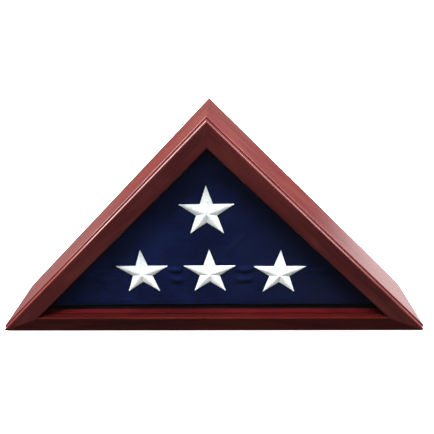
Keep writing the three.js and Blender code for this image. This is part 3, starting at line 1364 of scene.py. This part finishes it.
@dataclass
class FoldedFlag:
    """The flag: a front layer with four stars, the folded bundle, and the tucked back layer."""

    bunting: bpy.types.Material
    thread: bpy.types.Material
    star_radius: float = 40.9 * MM
    star_height: float = 5.6 * MM
    sag: float = 1.0 * MM
    foot_lift: float = 4.6 * MM
    half: float = 266.0 * MM
    stars: tuple[str, ...] = ("star_top", "star_left", "star_middle", "star_right")
    creases: tuple[Crease, ...] = (
        Crease((-70 * MM, 94.5 * MM), (-33 * MM, 93.5 * MM), 5.0 * MM, 2.8 * MM),
        Crease((34 * MM, 93.5 * MM), (70 * MM, 94.5 * MM), 5.0 * MM, 2.8 * MM),
        Crease((-72 * MM, 86.0 * MM), (-28 * MM, 85.0 * MM), -3.4 * MM, 3.2 * MM),
        Crease((28 * MM, 85.0 * MM), (72 * MM, 86.0 * MM), -3.4 * MM, 3.2 * MM),
        Crease((-73 * MM, 76.5 * MM), (-27 * MM, 74.0 * MM), 4.0 * MM, 3.4 * MM),
        Crease((26 * MM, 74.0 * MM), (70 * MM, 76.5 * MM), 4.0 * MM, 3.4 * MM),
        Crease((-67 * MM, 66 * MM), (-34 * MM, 62 * MM), -1.2 * MM, 3.6 * MM),
        Crease((34 * MM, 61 * MM), (66 * MM, 67 * MM), -1.2 * MM, 3.6 * MM),
        Crease((-176 * MM, 91 * MM), (-144 * MM, 89 * MM), 2.2 * MM, 2.8 * MM),
        Crease((-178 * MM, 78 * MM), (-146 * MM, 76 * MM), 1.3 * MM, 3.4 * MM),
        Crease((141 * MM, 89 * MM), (180 * MM, 91 * MM), 2.2 * MM, 2.8 * MM),
        Crease((144 * MM, 76 * MM), (186 * MM, 71 * MM), 1.2 * MM, 3.6 * MM),
        Crease((-44 * MM, 150 * MM), (-22 * MM, 122 * MM), 1.2 * MM, 3.6 * MM),
        Crease((46 * MM, 148 * MM), (24 * MM, 124 * MM), 1.2 * MM, 3.6 * MM),
        Crease((-225 * MM, 36.5 * MM), (228 * MM, 31.5 * MM), 0.6 * MM, 1.3 * MM),
    )

    def __post_init__(self) -> None:
        """Reads the flag's place and its stars' places from the CAD."""
        low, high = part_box("folded_flag")
        self.front, self.back = low.y, high.y
        middle = (low.x + high.x) / 2
        self.wedge = Wedge(self.half, middle, low.z + 1.2 * MM, 5 * MM, 7 * MM)
        lift = self.foot_lift
        self.front_wedge = Wedge(self.half - lift, middle, self.wedge.foot + lift, 5 * MM, 7 * MM)
        self.places = {name: centre(name) for name in self.stars}

    def relief(self, x: float, z: float) -> float:
        """How far the front layer stands out here.

        Args:
            x: the place along the case.
            z: the height.

        Returns:
            The distance the cloth stands out.
        """
        wave = noise.noise(Vector((x * 11, z * 15, 1.7))) * 1.8 * MM
        ripple = noise.noise(Vector((x * 38, z * 30, 6.1))) * 0.6 * MM
        push = wave + ripple + sum(c.push(x, z) for c in self.creases)
        for place in self.places.values():
            away = math.hypot(x - place.x, z - place.z)
            if away < 2.2 * self.star_radius:
                angle = math.atan2(z - place.z, x - place.x)
                edge = away / self.star_radius
                pucker = 0.28 * MM * math.sin(angle * 23 + 4 * noise.noise(Vector((x * 20, z * 20, 3))))
                push += pucker * math.exp(-((edge - 0.85) / 0.3) ** 2)
                calm = 1 / (1 + math.exp((edge - 1.08) * 16))
                push *= 1 - calm
        hem = 1 / (1 + math.exp(-(z - self.wedge.foot - 13.5 * MM) / (0.4 * MM)))
        return push - self.sag * (1 - hem) * 0.6 - self.sag * 0.4

    def front_layer(self) -> None:
        """The visible layer that carries the stars."""
        layer = ClothLayer("flag_front_layer", self.front_wedge, self.front, -1.0, self.relief,
                           side_roll=3.0 * MM, foot_roll=3.4 * MM)
        thing = layer.build()
        dress(thing, self.bunting)
        2 * self.wedge.half + 50 * MM
        self.wedge.half + 50 * MM
        self.flat_area(25 * MM)
        hand_in(thing, ROOT_BODY, "flag_cloth", "folded_flag")

    def flat_area(self, turn_in: float) -> float:
        """The area of a layer laid flat with a turn-in all round."""
        edge = 2 * self.wedge.half * (1 + math.sqrt(2))
        return self.wedge.half ** 2 + edge * turn_in

    def star_set(self) -> None:
        """The four stars."""
        for name, place in self.places.items():
            at = Vector((place.x, self.front + CLEARANCE, place.z))
            star = EmbroideredStar(at, self.star_radius, self.star_height, name=f"{name}_stitched")
            hand_in(star.build(self.thread), ROOT_BODY, "star_thread", name)

    def slab(self) -> bpy.types.Object:
        """One folded-over layer of the bundle, with its edge rounded, standing at depth zero.

        Returns:
            The fold.
        """
        thick = 3.4 * MM
        rings = []
        for step in range(7):
            turn = math.radians(-90 + 30 * step)
            inset = 3 * MM + thick / 2 * (1 - math.cos(turn))
            y = thick / 2 * math.sin(turn)
            rings.append([(x, y, z) for x, z in self.wedge.loop(inset, inset, 12 * MM)])
        return loft("flag_bundle", rings, sharp=60.0)

    def bundle(self) -> None:
        """The folds between the outer layers."""
        depth = self.back - self.front - 8 * MM
        g = Grower("stacked_folds", {"Start": self.front + 5 * MM, "Depth": depth, "Count": 21,
                                     "Slip": 1.4 * MM, "Seed": 11})
        step = g.input("Depth") / (g.input("Count") - 1.0)
        slip = g.input("Slip")
        place = g.combine(g.random(-1.0, 1.0, 1) * slip, g.input("Start") + g.index * step,
                          g.random(-0.1, 0.6, 2) * slip)
        size = g.random(0.985, 1.0, 3)
        tilt = g.combine(0.0, g.random(-0.003, 0.003, 4), 0.0)
        folds = g.instance(g.points(g.input("Count"), place), g.input("Geometry"), tilt,
                           g.combine(size, 1.0, size))
        thing = g.grow(folds, self.slab(), self.bunting)
        hand_in(thing, ROOT_BODY, "flag_cloth")

    def back_layers(self) -> None:
        """The layer at the back and the end of the flag tucked into it."""
        def calm(x: float, z: float) -> float:
            """Slow waves and the step of the tucked fold below."""
            return noise.noise(Vector((x * 13, z * 11, 9.4))) * 0.8 * MM - 1.6 * MM

        layer = ClothLayer("flag_back_layer", self.wedge, self.back, 1.0, calm, skirt=16 * MM,
                           pitch=3.0 * MM)
        thing = layer.build()
        dress(thing, self.bunting)
        2 * self.wedge.half + 42 * MM
        self.wedge.half + 42 * MM
        self.flat_area(21 * MM)
        hand_in(thing, ROOT_BODY, "flag_cloth")

        half = self.wedge.half * 0.56
        flap_wedge = Wedge(half, self.wedge.middle + self.wedge.half - half - 5 * MM,
                           self.wedge.foot + 2 * MM, 7 * MM, 7 * MM)

        def flap_height(x: float, z: float) -> float:
            """The flap lies on the back layer."""
            return calm(x, z) + 1.4 * MM

        flap = ClothLayer("flag_tucked_end", flap_wedge, self.back, 1.0, flap_height, side_roll=0.8 * MM,
                          foot_roll=0.8 * MM, skirt=0.4 * MM, pitch=3.0 * MM)
        thing = flap.build()
        dress(thing, self.bunting)
        2 * half
        half * half
        hand_in(thing, ROOT_BODY, "flag_cloth")

    def build(self) -> None:
        """Makes every piece of the flag."""
        self.bundle()
        self.front_layer()
        self.back_layers()
        self.star_set()


# ---------------------------------------------------------------- glass, back panel and fittings
@dataclass
class Panes:
    """The glass in front, and the felt-lined panel behind."""

    glass: bpy.types.Material
    board: bpy.types.Material
    felt: bpy.types.Material

    def plate(self, node: str, arris: float, material: bpy.types.Material) -> bpy.types.Object:
        """A flat triangle in a node's place with its arrises taken off.

        Args:
            node: the CAD node it stands for.
            arris: how much its edges are rounded.
            material: what it is made of.

        Returns:
            The plate.
        """
        low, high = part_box(node)
        middle = (low.x + high.x) / 2
        outline = [(low.x, low.z), (high.x, low.z), (middle, high.z)]
        thing = soften(prism(f"{node}_finished", outline, low.y, high.y), arris)
        dress(thing, material)
        return thing

    def build(self) -> None:
        """Makes the three plates."""
        hand_in(self.plate("glass_pane", 0.4 * MM, self.glass), ROOT_BODY, "glass", "glass_pane")
        hand_in(self.plate("back_panel", 0.5 * MM, self.board), "back_panel", "fibreboard", "back_panel")
        hand_in(self.plate("felt_lining", 0.3 * MM, self.felt), "back_panel", "felt", "felt_lining")


@dataclass
class TurnButton:
    """A stamped brass button on its pivot screw."""

    key: str
    hole: float = 1.9 * MM
    rim: float = 3.0 * MM
    crown: float = 0.25 * MM
    end_round: float = 4.5 * MM
    edge_ease: float = 0.5 * MM
    land: float = 1.6 * MM
    steps: int = 72

    def outline(self, angle: float, length: float, radius: float) -> float:
        """How far the edge is from the pivot in this direction.

        Args:
            angle: the direction from the pivot, with 0 along the button.
            length: the distance from the pivot to the far end's middle.
            radius: the radius of both ends.

        Returns:
            The distance to the edge.
        """
        c, s = math.cos(angle), abs(math.sin(angle))
        if c <= 0:
            return radius
        straight = radius / max(s, 1e-9)
        if straight * c <= length:
            return straight
        return length * c + math.sqrt(max(0.0, radius ** 2 - (length * s) ** 2))

    def build(self, brass: bpy.types.Material) -> None:
        """Makes the plate with its rounded edge and the raised rim round its hole.

        Args:
            brass: its material.
        """
        node = f"turn_button_{self.key}"
        low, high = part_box(node)
        pivot, middle = centre(f"button_screw_{self.key}"), centre(node)
        along = Vector((middle.x - pivot.x, 0.0, middle.z - pivot.z))
        direction = along.normalized()
        side = Vector((-direction.z, 0.0, direction.x))
        length, ease = 2 * along.length, self.edge_ease
        front, back, face = low.y, high.y, high.y - self.crown
        nick = 0.15 * MM
        hole_rings = ((self.hole, front), (self.hole, face), (self.hole + 0.2 * MM, back),
                      (self.rim - 0.4 * MM, back), (self.rim, face))
        edge_rings = ((self.land, face), (ease, face), (nick, face - 0.2 * MM), (0.0, face - ease),
                      (0.0, front + ease), (nick, front + nick), (ease, front))

        def spot(angle: float, reach: float, y: float) -> Vector:
            """A point of the plate, by its direction and distance from the pivot."""
            point = pivot + direction * (reach * math.cos(angle)) + side * (reach * math.sin(angle))
            point.y = y
            return point

        angles = [math.tau * i / self.steps for i in range(self.steps)]
        rings = [[spot(a, reach, y) for a in angles] for reach, y in hole_rings]
        for inset, y in edge_rings:
            radius = self.end_round - inset
            rings.append([spot(a, self.outline(a, length, radius), y) for a in angles])
        thing = loft(f"{node}_stamped", rings, closed=True, sharp=50.0)
        dress(thing, brass)
        hand_in(thing, node, "brass", node)


@dataclass
class ButtonScrews:
    """Six pan-head screws with cross recesses."""

    steel: bpy.types.Material
    keys: Sequence[str]
    shank: float = 1.6 * MM
    rise: float = 1.8 * MM
    tip: float = 3.0 * MM
    rim: float = 0.3 * MM
    recess: tuple[float, float, float] = (3.4 * MM, 2.6 * MM, 0.75 * MM)
    steps: int = 40

    def blank(self) -> bpy.types.Object:
        """One screw on the Y axis, with its head towards +Y and a cross cut in it.

        Returns:
            The screw.
        """
        low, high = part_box(f"button_screw_{self.keys[0]}")
        head, top, end = (high.x - low.x) / 2, high.y, low.y
        seat = top - self.rise
        profile = [(0.5 * MM, end + 0.8 * MM), (self.shank, end + self.tip), (self.shank, seat),
                   (head - 0.2 * MM, seat), (head, seat + self.rim)]
        for i in range(1, 6):
            turn = math.radians(15 * i)
            height = seat + self.rim + (self.rise - self.rim) * math.sin(turn)
            profile.append((head * math.cos(turn), height))
        bm = bmesh.new()
        steps = self.steps
        around = [(math.cos(math.tau * i / steps), math.sin(math.tau * i / steps)) for i in range(steps)]
        loops = [[bm.verts.new((r * c, y, r * s)) for c, s in around] for r, y in profile]
        tip, crown = bm.verts.new((0, end, 0)), bm.verts.new((0, top, 0))
        for low_ring, high_ring in zip(loops, loops[1:]):
            for i in range(steps):
                j = (i + 1) % steps
                bm.faces.new((low_ring[i], high_ring[i], high_ring[j], low_ring[j]))
        for i in range(steps):
            j = (i + 1) % steps
            bm.faces.new((tip, loops[0][i], loops[0][j]))
            bm.faces.new((crown, loops[-1][j], loops[-1][i]))
        screw = from_bmesh("button_screws", bm, 35.0)
        for turn in (45, 135):
            bar = bmesh.new()
            bmesh.ops.create_cube(bar, size=1.0)
            bmesh.ops.scale(bar, vec=self.recess, verts=bar.verts)
            for vert in bar.verts:
                if vert.co.y < 0:
                    vert.co.x *= 0.35
            bmesh.ops.rotate(bar, matrix=Matrix.Rotation(math.radians(turn), 3, "Y"), verts=bar.verts)
            bmesh.ops.translate(bar, vec=(0, top + 0.2 * MM, 0), verts=bar.verts)
            tool = from_bmesh("recess", bar)
            cut = screw.modifiers.new("recess", "BOOLEAN")
            cut.operation = "DIFFERENCE"
            cut.solver = "EXACT"
            cut.object = tool
            bake_modifiers(screw)
            bpy.data.objects.remove(tool)
        return screw

    def build(self) -> None:
        """Drives all six by geometry nodes."""
        g = Grower("screws", {"Count": len(self.keys), "Seed": 2})
        place = g.combine()
        for i, key in enumerate(self.keys):
            at = centre(f"button_screw_{key}")
            chosen = g.get("FunctionNodeCompare", 0, {"data_type": "INT", "operation": "EQUAL"},
                           {2: g.index, 3: i})
            place = g.get("GeometryNodeSwitch", 0, {"input_type": "VECTOR"},
                          {0: chosen, 1: place, 2: (at.x, 0.0, at.z)})
        turn = g.combine(0.0, g.random(0.0, math.pi, 1), 0.0)
        screws = g.instance(g.points(g.input("Count"), place), g.input("Geometry"), turn)
        thing = g.grow(screws, self.blank(), self.steel)
        thing.data.set_sharp_from_angle(angle=math.radians(35))
        hand_in(thing, ROOT_BODY, "steel", *(f"button_screw_{key}" for key in self.keys))


@dataclass
class HiddenFixings:
    """The brads and the mitre tongues, which stay as the CAD made them."""

    steel: bpy.types.Material
    wood: bpy.types.Material

    def build(self, nodes: dict[str, bpy.types.Object]) -> None:
        """Dresses the CAD nodes in place.

        Args:
            nodes: the CAD nodes by name.
        """
        for name, node in nodes.items():
            if name.startswith("bead_brad"):
                dress(node, self.steel)
            elif name.startswith("mitre_key"):
                dress(node, self.wood)


# ---------------------------------------------------------------- studio
@dataclass
class Studio:
    """Camera, lamps, floor and surroundings."""

    eye: Point2 = (23.0 * MM, 451.9 * MM)
    eye_from_front: float = 495.2 * MM
    yaw: float = -1.388
    pitch: float = 27.07
    roll: float = -1.043
    lens: float = 34.9
    ambient: float = 0.05
    ceiling: float = 0.25
    strip_left: float = 24.0
    strip_right: float = 11.0
    table: float = 0.8
    wall: float = 0.085
    below: float = 0.06

    def camera(self) -> None:
        """Sets up the camera in front of the case, looking down at it."""
        data = bpy.data.cameras.new("camera")
        data.lens = self.lens
        data.sensor_width = 36.0
        camera = bpy.data.objects.new("camera", data)
        bpy.context.scene.collection.objects.link(camera)
        yaw, pitch, roll = (math.radians(a) for a in (self.yaw, self.pitch, self.roll))
        ahead = Vector((math.sin(yaw) * math.cos(pitch), math.cos(yaw) * math.cos(pitch), -math.sin(pitch)))
        right = Vector((math.cos(yaw), -math.sin(yaw), 0.0))
        up = right.cross(ahead)
        turned = math.cos(roll) * right + math.sin(roll) * up
        upright = turned.cross(ahead)
        place = Vector((self.eye[0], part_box("face_frame_bottom")[0].y - self.eye_from_front, self.eye[1]))
        matrix = Matrix((turned, upright, -ahead)).transposed().to_4x4()
        camera.matrix_world = Matrix.Translation(place) @ matrix
        bpy.context.scene.camera = camera

    def lamp(self, name: str, place: Sequence[float], aim: Sequence[float], size: Point2,
             power: float, colour: Colour = (1.0, 1.0, 1.0)) -> None:
        """Adds one soft rectangular lamp.

        Args:
            name: the lamp's name.
            place: where it hangs.
            aim: the point it looks at.
            size: its width and height.
            power: its power in watts.
            colour: its colour.
        """
        data = bpy.data.lights.new(name, "AREA")
        data.shape = "RECTANGLE"
        data.size, data.size_y = size
        data.energy = power
        data.color = colour
        lamp = bpy.data.objects.new(name, data)
        bpy.context.scene.collection.objects.link(lamp)
        lamp.visible_glossy = False
        lamp.location = place
        lamp.rotation_euler = (Vector(aim) - Vector(place)).to_track_quat("-Z", "Y").to_euler()

    def surroundings(self) -> None:
        """The room: a soft ceiling, a bright strip on each side, and the table running on behind."""
        world = bpy.data.worlds.new("room")
        bpy.context.scene.world = world
        world.use_nodes = True
        t = Tree(world.node_tree)
        x, y, z = t.split(t.get("ShaderNodeTexCoord", "Generated"))

        rise = t.ramp
        ceiling = self.ceiling * rise(z, 0.2, 0.6)
        tall = rise(z, 0.08, 0.2) * rise(-1.0 * z, -0.62, -0.5)
        strips = tall * rise(y, -0.16, -0.04) * rise(-1.0 * y, -0.5, -0.38)
        left, right = self.strip_left * rise(-1.0 * x, 0.5, 0.7), self.strip_right * rise(x, 0.5, 0.7)
        strips = strips * (left + right)
        table = self.table * rise(y, 0.1, 0.5) * rise(-1.0 * z, 0.19, 0.34)
        table = table * (0.2 + 1.1 * rise(x, -0.2, 0.2))
        wall = self.wall * rise(y, 0.5, 0.9) * rise(z, -0.14, -0.02)
        below = self.below * rise(-1.0 * z, 0.7, 0.88) * rise(-1.0 * y, 0.0, 0.2)
        light = ceiling + strips + table + wall + below + self.ambient
        back = t.get("ShaderNodeBackground", 0, None, {"Color": (1.0, 1.0, 1.0, 1.0), "Strength": light})
        t.add("ShaderNodeOutputWorld", None, {"Surface": back})

    def floor(self) -> None:
        """A wide white table under and behind the case, which shows but sends no light back."""
        bm = bmesh.new()
        bmesh.ops.create_grid(bm, x_segments=8, y_segments=8, size=30.0)
        floor = from_bmesh("floor", bm)
        floor.data.transform(Matrix.Translation((0, 0, -0.0002)))
        for vert in floor.data.vertices:
            if max(abs(vert.co.x), abs(vert.co.y)) > 29.0:
                vert.co.z = 6.0
        floor.visible_glossy = False
        floor.visible_diffuse = False
        dress(floor, StudioPaint().make())

    def build(self) -> None:
        """Sets up the whole studio."""
        scene = bpy.context.scene
        scene.view_settings.view_transform = "Standard"
        self.camera()
        self.floor()
        self.surroundings()
        self.lamp("left_bank", (-1.5, 0.35, 1.4), (-0.16, 0.0, 0.17), (1.0, 1.0), 430.0, (1.0, 0.86, 0.72))
        self.lamp("right_bank", (1.5, 0.35, 1.4), (0.16, 0.0, 0.17), (1.0, 1.0), 385.0, (1.0, 0.96, 0.92))
        self.lamp("front_top", (-0.3, -1.05, 2.2), (0.0, -0.03, 0.12), (1.3, 0.8), 164.0)
        self.lamp("front_fill", (-0.2, -2.2, 1.1), (0.0, -0.03, 0.12), (1.6, 1.0), 20.0)


def main() -> None:
    """Builds the studio and every sub-assembly."""
    logging.basicConfig(level=logging.INFO, format="%(name)s %(message)s")
    Studio().build()
    half = round((CAD_BOX[1].x - CAD_BOX[0].x) / 2, 3)
    triangle = Triangle(half)
    woods = {}
    for side in triangle.sides():
        shift = 0.37 if side.name == "right" else 0.0
        common = LacqueredWood(f"mahogany_{side.name}", -side.turn, shift=shift)
        plain = common.make()
        woods["face_frame", side.name] = woods["box_rail", side.name] = plain
        if side.name == "bottom":
            # painted shade: the bottom face frame gets a darker copy of the same mahogany, though its front
            # faces the same way as the others; its upward lip keeps the lighter lip stain
            dark = replace(common, name="mahogany_dark", stain=(0.020, 0.0026, 0.0024),
                           deep=(0.009, 0.0018, 0.0018))
            woods["face_frame", side.name] = dark.make()
        # painted light: the glazing beads get a lighter, redder copy of the mahogany, standing in for the
        # strong top light on the bottom bead's upper face
        red = replace(common, name=f"mahogany_bead_{side.name}", stain=(0.080, 0.0045, 0.0072),
                      deep=(0.04, 0.003, 0.0045))
        woods["glazing_bead", side.name] = red.make()
    # near-black uncoated copy of the mahogany: painted shade for the rails' faces inside the case
    inside = LacqueredWood("mahogany_inside", 0.0, (0.006, 0.0014, 0.0012), (0.002, 0.0006, 0.0006),
                           coat=0.0, rough=0.75)
    lip = LacqueredWood("mahogany_lip", 0.0, (0.040, 0.0040, 0.0030), (0.020, 0.0026, 0.0020), coat=0.4)
    Woodwork(triangle, woods, inside.make(), lip.make()).build()
    steel = Metal("plated_steel", (0.62, 0.60, 0.55), (0.30, 0.27, 0.22), 0.28).make()
    brass = Metal("stamped_brass", (0.72, 0.52, 0.22), (0.36, 0.23, 0.10), 0.30).make()
    HiddenFixings(steel, BareWood().make()).build(frame["nodes"])
    FoldedFlag(Bunting().make(), Thread("star_thread").make()).build()
    Panes(ClearGlass().make(), Hardboard().make(), Felt().make()).build()
    keys = [f"{side.name}_{i}" for side in triangle.sides() for i in (1, 2)]
    for key in keys:
        TurnButton(key).build(brass)
    ButtonScrews(steel, keys).build()


if __name__ == "__main__":
    main()
